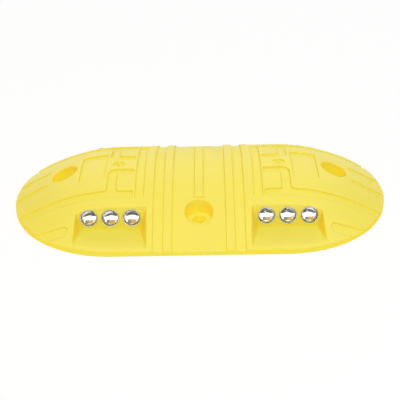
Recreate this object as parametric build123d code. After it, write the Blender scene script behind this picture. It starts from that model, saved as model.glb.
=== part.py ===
from build123d import *
import os
from math import cos, radians, sin, tan

# Moulded body: a stadium in plan, its deck one smooth curve from the crown down to an upright rim
length = 430
width = 242
height = 47
rim_height = 6
rim_round = 2
flank_angle = 29
crown_pull = 56
flank_pull = 38

# Underside
wall = 4.5
rim_wall = 9
web = 3
web_pitch_x = 36
web_pitch_y = 38
anchor_tube_wall = 4
socket_wall = 2.5

# Relief of the deck, in order from the middle towards the ends
relief_depth = 2
relief_round = 0.8
spine_width = 9.4
field_half_width = 29.3
inner_band = 9.4
band_gap = 11.5
outer_band = 10.8
strip_width = 10
strip_corner = 2
ridge = 2.2
tongue_length = 19
branch_width = 10.8
label_gap = 3.5
label_clearance = 20.5
finger_clearance = 18.5

# Relief of the deck, across
hook_y = 11.5
hook_width = 9
channel_inset = 61
channel_width = 10.4
groove_corner = 3.5
branch_corner = 9
gate_radius = 6.5
gate_nub_radius = 1.7
label_width = 57
label_corner = 2
finger_y = 15
finger_width = 6
notch_gap = 13
notch_inset = 29
notch_width = 12

# Anchor holes: two at the ends, two at the middle of the long sides
anchor_hole_radius = 7.5
seat_radius = 13.8
mouth_round = 1
end_anchor_inset = 58.5
end_seat_z = 17
end_seat_draft = 4
side_anchor_inset = 42.5
side_seat_sink = 1.3
side_seat_draft = 12

# Reflector pockets
pocket_gap = 4
pocket_foot_inset = 41
pocket_half_width = 32.5
pocket_flare = 13
pocket_draft = 20
pocket_floor_z = 8.3
pocket_floor_slope = 1
pocket_round = 1.2
pocket_lip_round = 1

# Glass lenses in silvered cups, three to a pocket
lens_radius = 9
lens_rise = 7
lens_waist = 2.5
lens_back = 7.5
lens_pitch = 23.5
lens_up_wall = 12.7
lenses_per_pocket = 3
cup_wall = 0.5
cup_proud = 0.6
fit_gap = 0.1

# Worked out from the sizes above
half_length = length / 2
half_width = width / 2
end_x = half_length - half_width
flank = radians(flank_angle)
overrun = 3
above = height + overrun
past_rim = half_width + overrun
gap_x = field_half_width + inner_band
strip_x = gap_x + band_gap + outer_band
hook_x = strip_x + strip_width + ridge
branch_x = hook_x + tongue_length
channel_y = half_width - channel_inset
end_anchor_x = half_length - end_anchor_inset
side_anchor_y = half_width - side_anchor_inset
pocket_x = strip_x + pocket_gap + pocket_half_width
pocket_foot_y = pocket_foot_inset - half_width
floor_slope = radians(pocket_floor_slope)
wall_lean = radians(pocket_draft - pocket_floor_slope)
cup_radius = lens_radius + fit_gap + cup_wall
socket_radius = cup_radius + fit_gap
socket_depth = lens_waist + lens_back + 2 * fit_gap + cup_wall
upright = (Align.CENTER, Align.CENTER, Align.MIN)


def both_ends(shape):
    return [shape, mirror(shape, Plane.YZ)]


def both_sides(shape):
    return [shape, mirror(shape, Plane.XZ)]


def quarters(shape):
    return both_sides(shape) + both_sides(mirror(shape, Plane.YZ))


def deck_curve(drop):
    # The deck's profile from the crown to the rim, lowered by `drop`
    top_z = height - drop
    rim_z = rim_height - drop
    return Bezier(
        (0, top_z),
        (crown_pull, top_z),
        (half_width - flank_pull * cos(flank), rim_z + flank_pull * sin(flank)),
        (half_width, rim_z),
    )


def deck_z(y):
    # Height of the deck at this distance from the centre line
    return deck_curve(0).edge().find_intersection_points(Axis((y, 0, 0), (0, 1, 0)))[0].Y


def half_section(drop, spill):
    # Right half of the cross-section: the deck lowered by `drop` and run on past the rim by `spill`
    deck = deck_curve(drop)
    crown = deck @ 0
    rim = deck @ 1
    rest = [rim, (half_width + spill, 0), (0, 0), crown]
    if spill:
        rest.insert(1, (half_width + spill, rim.Y - spill * tan(flank)))
    return make_face([deck.edge(), *Polyline(*rest).edges()])


def stadium_dome(half):
    # Runs a half section along the straight sides and turns it round both ends
    across = Plane.YZ * (half + mirror(half, Plane.YZ))
    middle = extrude(across, end_x, both=True)
    end = Pos(end_x, 0) * revolve(Rot(0, 0, -90) * (Plane.XZ * half), Axis.Z, 180)
    return middle + both_ends(end)


def bar(x_low, x_high, y_low, y_high):
    # A rectangle given by its edges
    return Pos((x_low + x_high) / 2, (y_low + y_high) / 2) * Rectangle(x_high - x_low, y_high - y_low)


def open_groove(x_start, y_middle, groove_width):
    # A groove with a round inner end, which runs out over the rim
    half = groove_width / 2
    run = bar(x_start + half, half_length + overrun, y_middle - half, y_middle + half)
    return run + Pos(x_start + half, y_middle) * Circle(half)


def strip():
    # A cross groove beside the outer band, which stops short of the rims
    return Pos(strip_x + strip_width / 2, 0) * RectangleRounded(strip_width, 2 * channel_y, strip_corner)


def channel():
    # The branched channel of one quarter: a hook round a raised tongue, then a run out to the end
    branch_end = branch_x + branch_width
    run = bar(hook_x, half_length + overrun, channel_y - channel_width, channel_y)
    branch = bar(branch_x, branch_end, hook_y, channel_y)
    hook = bar(hook_x, branch_end, hook_y, hook_y + hook_width)
    plan = run + branch + hook
    knee = (branch_end, hook_y)
    left_sharp = plan.vertices().group_by(Axis.X)[-1] + plan.vertices().sort_by_distance(knee)[:1]
    plan = fillet(plan.vertices() - left_sharp, groove_corner)
    return fillet(plan.vertices().sort_by_distance(knee)[0], branch_corner)


def label():
    # A bare label recess
    start = branch_x + branch_width + label_gap
    end = end_anchor_x - label_clearance
    return Pos((start + end) / 2, 0) * RectangleRounded(end - start, label_width, label_corner)


def gate():
    # The dimple round the nub where the plastic went in
    return Pos(branch_x, 0) * (Circle(gate_radius) - Circle(gate_nub_radius))


def finger():
    return open_groove(end_anchor_x + finger_clearance, finger_y, finger_width)


def notch():
    return open_groove(pocket_x + pocket_half_width + notch_gap, half_width - notch_inset, notch_width)


def pocket(grow):
    # A splayed recess with drafted walls; `grow` sets its walls back into the plastic
    front_y = -half_width - overrun
    foot_y = pocket_foot_y + grow
    back = pocket_half_width + grow
    front = back + (foot_y - front_y) * tan(radians(pocket_flare))
    floor = Plane(
        origin=(pocket_x, foot_y, pocket_floor_z - grow),
        x_dir=(1, 0, 0),
        z_dir=(0, -sin(floor_slope), cos(floor_slope)),
    )
    outline = Polyline((-back, 0), (back, 0), (front, front_y - foot_y), (-front, front_y - foot_y), close=True)
    return extrude(floor * make_face(outline), above, taper=-pocket_draft)


def round_pocket():
    # The pocket itself, with rounded corners between its walls and floor
    sharp = pocket(0)
    outside = sharp.faces().sort_by(Axis.Z)[-1].edges() + sharp.faces().sort_by(Axis.Y)[0].edges()
    return fillet(sharp.edges() - outside, pocket_round)


def lens_plane(place):
    # Where a lens leaves the back wall of the right front pocket, with its axis square to that wall
    x = pocket_x + (place - (lenses_per_pocket - 1) / 2) * lens_pitch
    y = pocket_foot_y + lens_up_wall * sin(wall_lean)
    z = pocket_floor_z + lens_up_wall * cos(wall_lean)
    return Plane(origin=(x, y, z), x_dir=(1, 0, 0), z_dir=(0, -cos(wall_lean), sin(wall_lean)))


def sockets(grow):
    # Blind holes for the cups; with `grow`, the bosses round them
    depth = socket_depth + grow
    hole = Pos(0, 0, -depth) * Cylinder(socket_radius + grow, depth + cup_proud, align=upright)
    found = []
    for place in range(lenses_per_pocket):
        found += quarters(lens_plane(place).location * hole)
    return found


def at_anchors(at_end, at_side):
    # Places one shape at both ends and another at the middle of both long sides
    return both_ends(Pos(end_anchor_x, 0) * at_end) + both_sides(Pos(0, side_anchor_y) * at_side)


def counterbore(seat_z, draft, grow):
    # Drafted mouth over an anchor's seat; `grow` sets it back into the plastic
    low = seat_z - grow
    radius = seat_radius + grow
    depth = above - low
    return Pos(0, 0, low) * Cone(radius, radius + depth * tan(radians(draft)), depth, align=upright)


def counterbores(grow):
    # The side seats lie just below the lower edge of their mouths
    side_seat_z = deck_z(side_anchor_y + seat_radius) - relief_depth - side_seat_sink
    return at_anchors(
        counterbore(end_seat_z, end_seat_draft, grow),
        counterbore(side_seat_z, side_seat_draft, grow),
    )


def opened(body, recesses, lip):
    # Cuts recesses into the deck and rounds their lips
    cut = body - recesses
    return fillet(new_edges(body, *recesses, combined=cut), lip)


def relief(plans):
    # What is cut away where the plans are sunk into the deck, down to a floor parallel to it
    return extrude(Sketch() + plans, above) - stadium_dome(half_section(relief_depth, overrun))


def sunk(body, plans):
    return opened(body, [relief(plans)], relief_round)


def webs():
    # Stiffening webs under the deck, across and along
    across = int(half_length / web_pitch_x)
    along = int(half_width / web_pitch_y)
    plates = [Pos(i * web_pitch_x, 0) * Box(web, width, height, align=upright) for i in range(-across, across + 1)]
    plates += [Pos(0, i * web_pitch_y) * Box(length, web, height, align=upright) for i in range(-along, along + 1)]
    return plates


def hollow():
    # The open underside, less everything that stands in it
    inside = extrude(SlotOverall(length - 2 * rim_wall, width - 2 * rim_wall), height)
    tube = Cylinder(anchor_hole_radius + anchor_tube_wall, height, align=upright)
    stands = webs() + at_anchors(tube, tube) + counterbores(wall) + quarters(pocket(wall)) + sockets(socket_wall)
    return (stadium_dome(half_section(wall, overrun)) & inside) - stands


def moulded_body():
    section = half_section(0, 0)
    rim_top = section.vertices().group_by(Axis.X)[-1].sort_by(Axis.Y)[-1]
    dome = stadium_dome(fillet(rim_top, rim_round))
    body = sunk(dome, [bar(-field_half_width, field_half_width, -past_rim, past_rim)])
    body = opened(body, quarters(round_pocket()), pocket_lip_round)
    body = opened(body, counterbores(0), mouth_round)
    body = sunk(body, both_ends(bar(gap_x, gap_x + band_gap, -past_rim, past_rim)))
    for mark in (strip(), label(), gate()):
        body = sunk(body, both_ends(mark))
    body -= relief(quarters(channel()) + quarters(finger()) + quarters(notch()))
    beside_spine = both_ends(bar(spine_width / 2, field_half_width, -past_rim, past_rim))
    spine = sunk(dome, beside_spine) & extrude(Rectangle(spine_width, 2 * side_anchor_y), above)
    body += spine - counterbores(mouth_round)
    hole = Cylinder(anchor_hole_radius, above, align=upright)
    return body - hollow() - at_anchors(hole, hole) - sockets(0)


def lens():
    # Glass: a domed front, a short waist in the cup and a domed back
    back_z = -lens_waist - lens_back
    outline = [
        Line((0, back_z), (0, lens_rise)),
        TangentArc((0, lens_rise), (lens_radius, 0), tangent=(1, 0)),
        Line((lens_radius, 0), (lens_radius, -lens_waist)),
        TangentArc((0, back_z), (lens_radius, -lens_waist), tangent=(1, 0)),
    ]
    return revolve(Plane.XZ * make_face(outline), Axis.Z)


def cup():
    # Silvered metal behind the glass, with its round lip just proud of the pocket wall
    inner = lens_radius + fit_gap
    inner_z = -lens_waist - lens_back - fit_gap
    outer_z = inner_z - cup_wall
    lip_z = cup_proud - cup_wall / 2
    outline = [
        TangentArc((0, inner_z), (inner, -lens_waist), tangent=(1, 0)),
        Line((inner, -lens_waist), (inner, lip_z)),
        ThreePointArc((inner, lip_z), (inner + cup_wall / 2, cup_proud), (cup_radius, lip_z)),
        Line((cup_radius, lip_z), (cup_radius, -lens_waist)),
        TangentArc((0, outer_z), (cup_radius, -lens_waist), tangent=(1, 0)),
        Line((0, outer_z), (0, inner_z)),
    ]
    return revolve(Plane.XZ * make_face(outline), Axis.Z)


os.makedirs("parts", exist_ok=True)
export_step(moulded_body(), "parts/moulded_body.step")
corners = ["front_right", "rear_right", "front_left", "rear_left"]
for name, shape in {"lens": lens(), "cup": cup()}.items():
    for place in range(lenses_per_pocket):
        for corner, piece in zip(corners, quarters(lens_plane(place).location * shape)):
            export_step(piece, f"parts/{corner}_{name}_{place + 1}.step")
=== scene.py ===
import bpy
from math import cos, radians, sin
from mathutils import Matrix, Vector

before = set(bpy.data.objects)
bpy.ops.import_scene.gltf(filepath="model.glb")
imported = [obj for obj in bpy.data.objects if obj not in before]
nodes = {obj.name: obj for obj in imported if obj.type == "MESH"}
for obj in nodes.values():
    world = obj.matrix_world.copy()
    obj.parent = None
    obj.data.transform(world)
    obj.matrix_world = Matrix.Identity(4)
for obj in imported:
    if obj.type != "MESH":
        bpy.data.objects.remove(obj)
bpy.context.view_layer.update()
bpy.ops.object.select_all(action="DESELECT")
print("frame loaded:", len(nodes), "nodes")


def hexColor(code):
    # sRGB hex to linear, with alpha
    parts = [int(code[i:i + 2], 16) / 255 for i in (1, 3, 5)]
    return [p / 12.92 if p <= 0.04045 else ((p + 0.055) / 1.055) ** 2.4 for p in parts] + [1.0]


def addNode(tree, kind, links=None, **settings):
    # One node, with its settings, then each socket's value or the socket that feeds it
    node = tree.nodes.new(kind)
    for name, value in settings.items():
        setattr(node, name, value)
    for socket, source in (links or {}).items():
        if isinstance(source, bpy.types.NodeSocket):
            tree.links.new(source, node.inputs[socket])
        else:
            node.inputs[socket].default_value = source
    return node


def startMaterial(name):
    material = bpy.data.materials.new(name)
    material.use_nodes = True
    material.node_tree.nodes.clear()
    return material, material.node_tree


def endMaterial(tree, shader):
    addNode(tree, "ShaderNodeOutputMaterial", {"Surface": shader.outputs[0]})


def perMetre(millimetres):
    # Texture scale whose features are about this many millimetres apart
    return 1000 / millimetres


# Moulded polyethylene: pigmented right through and satin from the mould. The eye gets a soft sheen,
# edges that are never quite sharp, faint flow clouding and a fine texture
bodyPlastic = {
    "yellow": "#EFE14A",
    "deepYellow": "#EEDE42",
    # Painted shade colours for the hollows: floors, walls, walls that face the ends, and bores
    "paintedShadeFloor": "#F4EC58",
    "paintedShadeWall": "#F2DC30",
    "paintedShadeSide": "#FFD504",
    "paintedShadeBore": "#F8F048",
    "hollowReach": 0.03,  # metres, as are the other reaches and heights
    "hollowRange": (0.95, 0.62),  # ranges go from no effect to the full one
    "hollowDullness": 0.55,
    "boreRange": (0.58, 0.28),
    "wallRange": (0.8, 0.4),
    "sideRange": (0.3, 0.8),
    "grooveReach": 0.005,
    "grooveShare": 0.65,
    "deepRange": (0.04, 0.2),
    "cloudMm": 60,
    "cloudDetail": 3.0,
    "grainMm": 1.1,  # coarser than a real mould texture, so that it shows
    "grainDetail": 2.0,
    "grainHeight": 0.00004,
    "grainStrength": 0.5,
    "edgeSoftness": 0.0012,
    "raySamples": 8,
    "roughness": (0.36, 0.48),
    "ior": 1.54,
    "shine": 0.75,
    "glow": 0.25,
    "glowReach": (1.0, 0.8, 0.2),
    "glowScale": 0.0015,
}


def mouldedPolyethylene(look):
    material, tree = startMaterial("yellowMouldedPolyethylene")
    coordinates = addNode(tree, "ShaderNodeTexCoord").outputs
    place = coordinates["Object"]
    cloud = addNode(tree, "ShaderNodeTexNoise", {
        "Vector": place, "Scale": perMetre(look["cloudMm"]), "Detail": look["cloudDetail"],
    })
    # The mix node's colour sockets share their names with others, so they go by number
    tone = addNode(tree, "ShaderNodeMix", {
        0: cloud.outputs["Fac"], 6: hexColor(look["yellow"]), 7: hexColor(look["deepYellow"]),
    }, data_type="RGBA")
    # Painted shade: hollows get a deeper, more golden yellow that stands in for the shade falling in
    # them:
    # walls that face the ends most, other walls next, floors and bores less. A wide look round finds
    # the hollows, and a near one tells them from shallow grooves, which get only a share of the
    # painted shade
    cover = addNode(tree, "ShaderNodeAmbientOcclusion", {
        "Distance": look["hollowReach"],
    }, samples=look["raySamples"])
    hollow = addNode(tree, "ShaderNodeMapRange", {
        "Value": cover.outputs["AO"],
        "From Min": look["hollowRange"][0], "From Max": look["hollowRange"][1],
    })
    bore = addNode(tree, "ShaderNodeMapRange", {
        "Value": cover.outputs["AO"],
        "From Min": look["boreRange"][0], "From Max": look["boreRange"][1],
    })
    facing = addNode(tree, "ShaderNodeSeparateXYZ", {0: coordinates["Normal"]}).outputs
    level = addNode(tree, "ShaderNodeMath", {0: facing["Z"]}, operation="ABSOLUTE")
    wall = addNode(tree, "ShaderNodeMapRange", {
        "Value": level.outputs[0],
        "From Min": look["wallRange"][0], "From Max": look["wallRange"][1],
    })
    sideways = addNode(tree, "ShaderNodeMath", {0: facing["X"]}, operation="ABSOLUTE")
    side = addNode(tree, "ShaderNodeMapRange", {
        "Value": sideways.outputs[0],
        "From Min": look["sideRange"][0], "From Max": look["sideRange"][1],
    })
    near = addNode(tree, "ShaderNodeAmbientOcclusion", {
        "Distance": look["grooveReach"],
    }, samples=look["raySamples"])
    depth = addNode(tree, "ShaderNodeMath", {
        0: near.outputs["AO"], 1: cover.outputs["AO"],
    }, operation="SUBTRACT")
    deep = addNode(tree, "ShaderNodeMapRange", {
        "Value": depth.outputs[0],
        "From Min": look["deepRange"][0], "From Max": look["deepRange"][1],
    })
    deepSide = addNode(tree, "ShaderNodeMath", {
        0: side.outputs[0], 1: deep.outputs[0],
    }, operation="MULTIPLY")
    share = addNode(tree, "ShaderNodeMapRange", {
        "Value": deep.outputs[0], "To Min": look["grooveShare"],
    })
    # How much painted shade each place gets
    tint = addNode(tree, "ShaderNodeMath", {
        0: hollow.outputs[0], 1: share.outputs[0],
    }, operation="MULTIPLY")
    # The painted shade's colour: floor to wall, then walls facing the ends, then bores
    shade = addNode(tree, "ShaderNodeMix", {
        0: wall.outputs[0], 6: hexColor(look["paintedShadeFloor"]), 7: hexColor(look["paintedShadeWall"]),
    }, data_type="RGBA")
    shade = addNode(tree, "ShaderNodeMix", {
        0: deepSide.outputs[0], 6: shade.outputs[2], 7: hexColor(look["paintedShadeSide"]),
    }, data_type="RGBA")
    shade = addNode(tree, "ShaderNodeMix", {
        0: bore.outputs[0], 6: shade.outputs[2], 7: hexColor(look["paintedShadeBore"]),
    }, data_type="RGBA")
    # The painted shade goes over the clouded yellow
    tone = addNode(tree, "ShaderNodeMix", {
        0: tint.outputs[0], 6: tone.outputs[2], 7: shade.outputs[2],
    }, data_type="RGBA")
    # The fine texture sets the gloss, and hollows are duller
    grain = addNode(tree, "ShaderNodeTexNoise", {
        "Vector": place, "Scale": perMetre(look["grainMm"]), "Detail": look["grainDetail"],
    })
    gloss = addNode(tree, "ShaderNodeMapRange", {
        "Value": grain.outputs["Fac"],
        "To Min": look["roughness"][0], "To Max": look["roughness"][1],
    })
    gloss = addNode(tree, "ShaderNodeMath", {
        0: hollow.outputs[0], 1: look["hollowDullness"], 2: gloss.outputs[0],
    }, operation="MULTIPLY_ADD")
    soft = addNode(tree, "ShaderNodeBevel", {
        "Radius": look["edgeSoftness"],
    }, samples=look["raySamples"])
    bump = addNode(tree, "ShaderNodeBump", {
        "Height": grain.outputs["Fac"], "Distance": look["grainHeight"],
        "Strength": look["grainStrength"], "Normal": soft.outputs[0],
    })
    shader = addNode(tree, "ShaderNodeBsdfPrincipled", {
        "Base Color": tone.outputs[2], "Roughness": gloss.outputs[0], "Normal": bump.outputs[0],
        "IOR": look["ior"], "Specular IOR Level": look["shine"],
        "Subsurface Weight": look["glow"], "Subsurface Radius": look["glowReach"],
        "Subsurface Scale": look["glowScale"],
    })
    endMaterial(tree, shader)
    return material


# Pressed soda-lime glass: clear and fire-polished, with the slight waves that the press leaves
lensGlass = {
    "tint": "#FCFDFB",
    "ior": 1.52,
    "roughness": (0.0, 0.03),
    "waveMm": 24,
    "waveDetail": 1.0,
    "waveHeight": 0.0015,
}


def pressedGlass(look):
    material, tree = startMaterial("pressedSodaLimeGlass")
    place = addNode(tree, "ShaderNodeTexCoord").outputs["Object"]
    wave = addNode(tree, "ShaderNodeTexNoise", {
        "Vector": place, "Scale": perMetre(look["waveMm"]), "Detail": look["waveDetail"],
    })
    polish = addNode(tree, "ShaderNodeMapRange", {
        "Value": wave.outputs["Fac"],
        "To Min": look["roughness"][0], "To Max": look["roughness"][1],
    })
    bump = addNode(tree, "ShaderNodeBump", {
        "Height": wave.outputs["Fac"], "Distance": look["waveHeight"],
    })
    shader = addNode(tree, "ShaderNodeBsdfPrincipled", {
        "Base Color": hexColor(look["tint"]), "Roughness": polish.outputs[0], "IOR": look["ior"],
        "Transmission Weight": 1.0, "Normal": bump.outputs[0],
    })
    endMaterial(tree, shader)
    return material


# Silvered aluminium: spun cups, polished inside, a bright mirror with a trace of drawing marks
cupMetal = {
    "silver": "#FBFBF9",
    "shade": "#EDECE8",
    "roughness": (0.04, 0.12),
    "markMm": 2.5,
    "markDetail": 3.0,
}


def silveredAluminium(look):
    material, tree = startMaterial("silveredAluminium")
    place = addNode(tree, "ShaderNodeTexCoord").outputs["Object"]
    mark = addNode(tree, "ShaderNodeTexNoise", {
        "Vector": place, "Scale": perMetre(look["markMm"]), "Detail": look["markDetail"],
    })
    tone = addNode(tree, "ShaderNodeMix", {
        0: mark.outputs["Fac"], 6: hexColor(look["silver"]), 7: hexColor(look["shade"]),
    }, data_type="RGBA")
    polish = addNode(tree, "ShaderNodeMapRange", {
        "Value": mark.outputs["Fac"],
        "To Min": look["roughness"][0], "To Max": look["roughness"][1],
    })
    shader = addNode(tree, "ShaderNodeBsdfPrincipled", {
        "Base Color": tone.outputs[2], "Roughness": polish.outputs[0], "Metallic": 1.0,
    })
    endMaterial(tree, shader)
    return material


def dressNodes():
    finishes = {
        "lens": pressedGlass(lensGlass),
        "cup": silveredAluminium(cupMetal),
        "body": mouldedPolyethylene(bodyPlastic),
    }
    for name, node in nodes.items():
        finish = next(finishes[kind] for kind in finishes if kind in name)
        node.data.materials.clear()
        node.data.materials.append(finish)


dressNodes()
print("materials set")


# Stage: a white floor that keeps a soft shadow under an even white tent. The glass mirrors an opening
# behind the camera, with a dim room low down and, higher up, a warm glowing panel that stands in for a
# lit wooden ceiling, and dimmer wings to both sides
stage = {
    "floorSize": 24.0,
    "floorColor": "#FCFCFC",
    "white": 1.0,
    "shadowShare": 0.16,
    "tent": 0.602,
    "paperGlow": 0.8,
    "roomShade": 0.92,
    "roomTop": (0.28, 0.2),
    "roomBase": (-0.03, 0.03),
    "roomSide": 0.1,
    "roomMiddle": -0.3,
    "roomArch": 0.7,
    "wingShade": 0.5,
    "wingRange": (0.35, 0.65),
    "panelWood": "#E6B566",
    "panelShade": "#8E8A7E",
    "panelRange": (0.45, 0.7),
    "panelPlace": (0.0, -0.955, 1.02),
    "panelSize": (1.0, 0.42),
}


def rayIsSeen(tree):
    # 1 for rays that look at the background straight, by reflection or through glass
    path = addNode(tree, "ShaderNodeLightPath").outputs
    both = addNode(tree, "ShaderNodeMath", {
        0: path["Is Camera Ray"], 1: path["Is Glossy Ray"],
    }, operation="MAXIMUM")
    return addNode(tree, "ShaderNodeMath", {
        0: both.outputs[0], 1: path["Is Transmission Ray"],
    }, operation="MAXIMUM")


def whiteFloor(look):
    material, tree = startMaterial("paperSweep")
    diffuse = addNode(tree, "ShaderNodeBsdfDiffuse", {"Color": hexColor(look["floorColor"])})
    glow = addNode(tree, "ShaderNodeEmission", {"Strength": look["white"]})
    share = addNode(tree, "ShaderNodeMapRange", {
        "Value": rayIsSeen(tree).outputs[0],
        "To Min": look["paperGlow"], "To Max": 1 - look["shadowShare"],
    })
    mixed = addNode(tree, "ShaderNodeMixShader", {
        0: share.outputs[0], 1: diffuse.outputs[0], 2: glow.outputs[0],
    })
    endMaterial(tree, mixed)
    bpy.ops.mesh.primitive_plane_add(size=look["floorSize"])
    floor = bpy.context.object
    floor.name = "paperSweep"
    floor.data.materials.append(material)


def whiteTent(look):
    world = bpy.data.worlds.new("whiteTent")
    bpy.context.scene.world = world
    world.use_nodes = True
    tree = world.node_tree
    tree.nodes.clear()
    toward = addNode(tree, "ShaderNodeTexCoord").outputs["Generated"]
    axes = addNode(tree, "ShaderNodeSeparateXYZ", {0: toward}).outputs
    # The room's outline rises to both sides
    across = addNode(tree, "ShaderNodeMath", {0: axes["X"], 1: axes["X"]}, operation="MULTIPLY")
    height = addNode(tree, "ShaderNodeMath", {
        0: across.outputs[0], 1: -look["roomArch"], 2: axes["Z"],
    }, operation="MULTIPLY_ADD")
    top = addNode(tree, "ShaderNodeMapRange", {
        "Value": height.outputs[0],
        "From Min": look["roomTop"][0], "From Max": look["roomTop"][1],
        "To Max": look["roomShade"],
    }, interpolation_type="SMOOTHSTEP")
    low = addNode(tree, "ShaderNodeMapRange", {
        "Value": height.outputs[0],
        "From Min": look["roomBase"][0], "From Max": look["roomBase"][1],
        "To Max": top.outputs[0],
    }, interpolation_type="SMOOTHSTEP")
    front = addNode(tree, "ShaderNodeMapRange", {
        "Value": axes["Y"], "From Min": look["roomSide"], "From Max": look["roomMiddle"],
    }, interpolation_type="SMOOTHSTEP")
    room = addNode(tree, "ShaderNodeMath", {
        0: low.outputs[0], 1: front.outputs[0],
    }, operation="MULTIPLY")
    aside = addNode(tree, "ShaderNodeMath", {0: axes["X"]}, operation="ABSOLUTE")
    wings = addNode(tree, "ShaderNodeMapRange", {
        "Value": aside.outputs[0],
        "From Min": look["wingRange"][0], "From Max": look["wingRange"][1],
        "To Max": look["wingShade"],
    }, interpolation_type="SMOOTHSTEP")
    room = addNode(tree, "ShaderNodeMath", {
        0: room.outputs[0], 1: wings.outputs[0],
    }, operation="MAXIMUM")
    # Only what is mirrored or seen through glass shows the room
    path = addNode(tree, "ShaderNodeLightPath").outputs
    mirrored = addNode(tree, "ShaderNodeMath", {
        0: path["Is Glossy Ray"], 1: path["Is Transmission Ray"],
    }, operation="MAXIMUM")
    bright = addNode(tree, "ShaderNodeMapRange", {
        "Value": rayIsSeen(tree).outputs[0], "To Min": look["tent"], "To Max": look["white"],
    })
    shade = addNode(tree, "ShaderNodeMath", {
        0: room.outputs[0], 1: mirrored.outputs[0],
    }, operation="MULTIPLY")
    strength = addNode(tree, "ShaderNodeMath", {
        0: bright.outputs[0], 1: shade.outputs[0],
    }, operation="SUBTRACT")
    sky = addNode(tree, "ShaderNodeBackground", {
        "Color": (1, 1, 1, 1), "Strength": strength.outputs[0],
    })
    addNode(tree, "ShaderNodeOutputWorld", {"Surface": sky.outputs[0]})


def ceilingPanel(look):
    # A glowing panel, no lamp, that stands in for a lit wooden ceiling, with painted shade towards one
    # side.
    # Only the glass and the metal mirror it: it neither shows nor lights the object
    material, tree = startMaterial("glowingWoodPanel")
    along = addNode(tree, "ShaderNodeTexCoord").outputs["Generated"]
    across = addNode(tree, "ShaderNodeSeparateXYZ", {0: along}).outputs["X"]
    shaded = addNode(tree, "ShaderNodeMapRange", {
        "Value": across, "From Min": look["panelRange"][0], "From Max": look["panelRange"][1],
    }, interpolation_type="SMOOTHSTEP")
    # Painted shade: the glowing panel turns grey towards one side
    tone = addNode(tree, "ShaderNodeMix", {
        0: shaded.outputs[0], 6: hexColor(look["panelWood"]), 7: hexColor(look["panelShade"]),
    }, data_type="RGBA")
    endMaterial(tree, addNode(tree, "ShaderNodeEmission", {"Color": tone.outputs[2]}))
    place = Vector(look["panelPlace"])
    bpy.ops.mesh.primitive_plane_add(size=1, location=place)
    panel = bpy.context.object
    panel.name = "ceilingPanel"
    panel.scale = (*look["panelSize"], 1)
    panel.rotation_euler = place.to_track_quat("Z", "Y").to_euler()
    panel.visible_camera = False
    panel.visible_diffuse = False
    panel.visible_shadow = False
    panel.data.materials.append(material)


whiteFloor(stage)
whiteTent(stage)
ceilingPanel(stage)

# Soft lamps: place, width and height in metres, watts, and the colour of the one that isn't white
lamps = {
    "topSoftbox": {"place": (0.35, -0.1, 1.5), "size": (1.8, 1.4), "power": 3.2},
    "frontSoftbox": {"place": (0.1, -1.1, 1.2), "size": (1.4, 0.8), "power": 2.9},
    "lowSoftbox": {"place": (0.0, -1.5, 0.75), "size": (2.4, 0.4), "power": 3.45},
    "rightSoftbox": {"place": (1.2, -0.4, 1.2), "size": (1.1, 1.1), "power": 3.0},
    "leftSoftbox": {"place": (-1.2, -0.4, 1.2), "size": (1.1, 1.1), "power": 4.6, "color": "#FFDCAE"},
    "backSoftbox": {"place": (0.0, 1.2, 0.9), "size": (2.6, 0.8), "power": 3.0},
}
for name, lamp in lamps.items():
    bpy.ops.object.light_add(type="AREA", location=lamp["place"])
    light = bpy.context.object
    light.name = name
    light.data.shape = "RECTANGLE"
    light.data.size, light.data.size_y = lamp["size"]
    light.data.energy = lamp["power"]
    light.data.color = hexColor(lamp.get("color", "#FFFFFF"))[:3]
    light.rotation_euler = Vector(lamp["place"]).to_track_quat("Z", "Y").to_euler()
print("stage and lamps set")

# Camera fitted to the photograph: angles in degrees, distance in metres from the middle of the base,
# lens and sensor in millimetres
view = {
    "elevation": 30.57,
    "turn": 0.868,
    "roll": -1.41,
    "distance": 1.0474,
    "lens": 79.81,
    "sensor": 36,
    "shiftX": 0.0012,
    "shiftY": -0.0063,
}


def fittedCamera(look):
    up, turn, roll = (radians(look[k]) for k in ("elevation", "turn", "roll"))
    back = Vector((sin(turn) * cos(up), -cos(turn) * cos(up), sin(up)))
    right = (-back).cross(Vector((0, 0, 1))).normalized()
    top = right.cross(-back)
    rolledRight = cos(roll) * right + sin(roll) * top
    rolledTop = -sin(roll) * right + cos(roll) * top
    bpy.ops.object.camera_add()
    camera = bpy.context.object
    camera.matrix_world = Matrix.Translation(back * look["distance"]) @ Matrix(
        (rolledRight, rolledTop, back)
    ).transposed().to_4x4()
    camera.data.lens = look["lens"]
    camera.data.sensor_width = look["sensor"]
    camera.data.shift_x = look["shiftX"]
    camera.data.shift_y = look["shiftY"]
    bpy.context.scene.camera = camera


fittedCamera(view)

# Light bounces often enough to get through the glass and to fill the yellow hollows
bounces = {"most": 24, "diffuse": 16}
scene = bpy.context.scene
scene.cycles.max_bounces = bounces["most"]
scene.cycles.diffuse_bounces = bounces["diffuse"]
scene.view_settings.view_transform = "Standard"
print("camera set")
